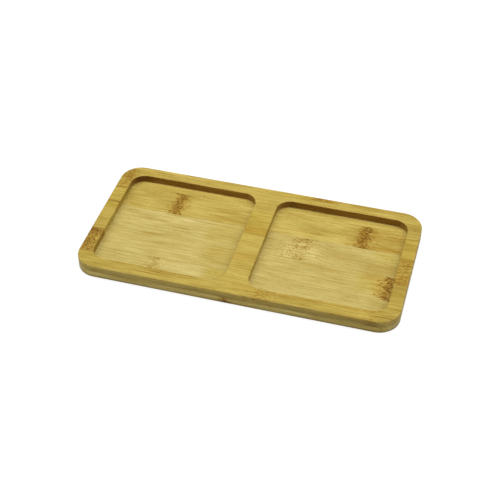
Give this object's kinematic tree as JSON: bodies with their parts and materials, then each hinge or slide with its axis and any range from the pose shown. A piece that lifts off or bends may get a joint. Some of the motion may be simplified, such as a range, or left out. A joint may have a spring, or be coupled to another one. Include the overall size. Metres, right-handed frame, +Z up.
{
  "type": "compartment serving tray",
  "caption": "Low rectangular bamboo serving tray with rounded corners and shallow square compartments side by side, laminated from strips in staggered plies and routed.",
  "frame": {"origin": "centre of the underside, on the surface that the tray stands on", "axes": "+X along the length and the grain, +Y to the back, +Z up"},
  "size_m": [0.24, 0.12, 0.0106],
  "materials": {
    "lower_ply_bamboo": "satin, clear oiled",
    "upper_ply_bamboo": "satin, clear oiled"
  },
  "bodies": {
    "root": {"base_strip_1": "lower_ply_bamboo", "base_strip_2": "lower_ply_bamboo", "base_strip_3": "lower_ply_bamboo", "base_strip_4": "lower_ply_bamboo", "base_strip_5": "lower_ply_bamboo", "base_strip_6": "lower_ply_bamboo", "front_rail_1": "upper_ply_bamboo", "left_rim_2": "upper_ply_bamboo", "divider_2": "upper_ply_bamboo", "right_rim_2": "upper_ply_bamboo", "left_rim_3": "upper_ply_bamboo", "divider_3": "upper_ply_bamboo", "right_rim_3": "upper_ply_bamboo", "left_rim_4": "upper_ply_bamboo", "divider_4": "upper_ply_bamboo", "right_rim_4": "upper_ply_bamboo", "back_rail_5": "upper_ply_bamboo", "back_rail_6": "upper_ply_bamboo"}
  },
  "joints": []
}
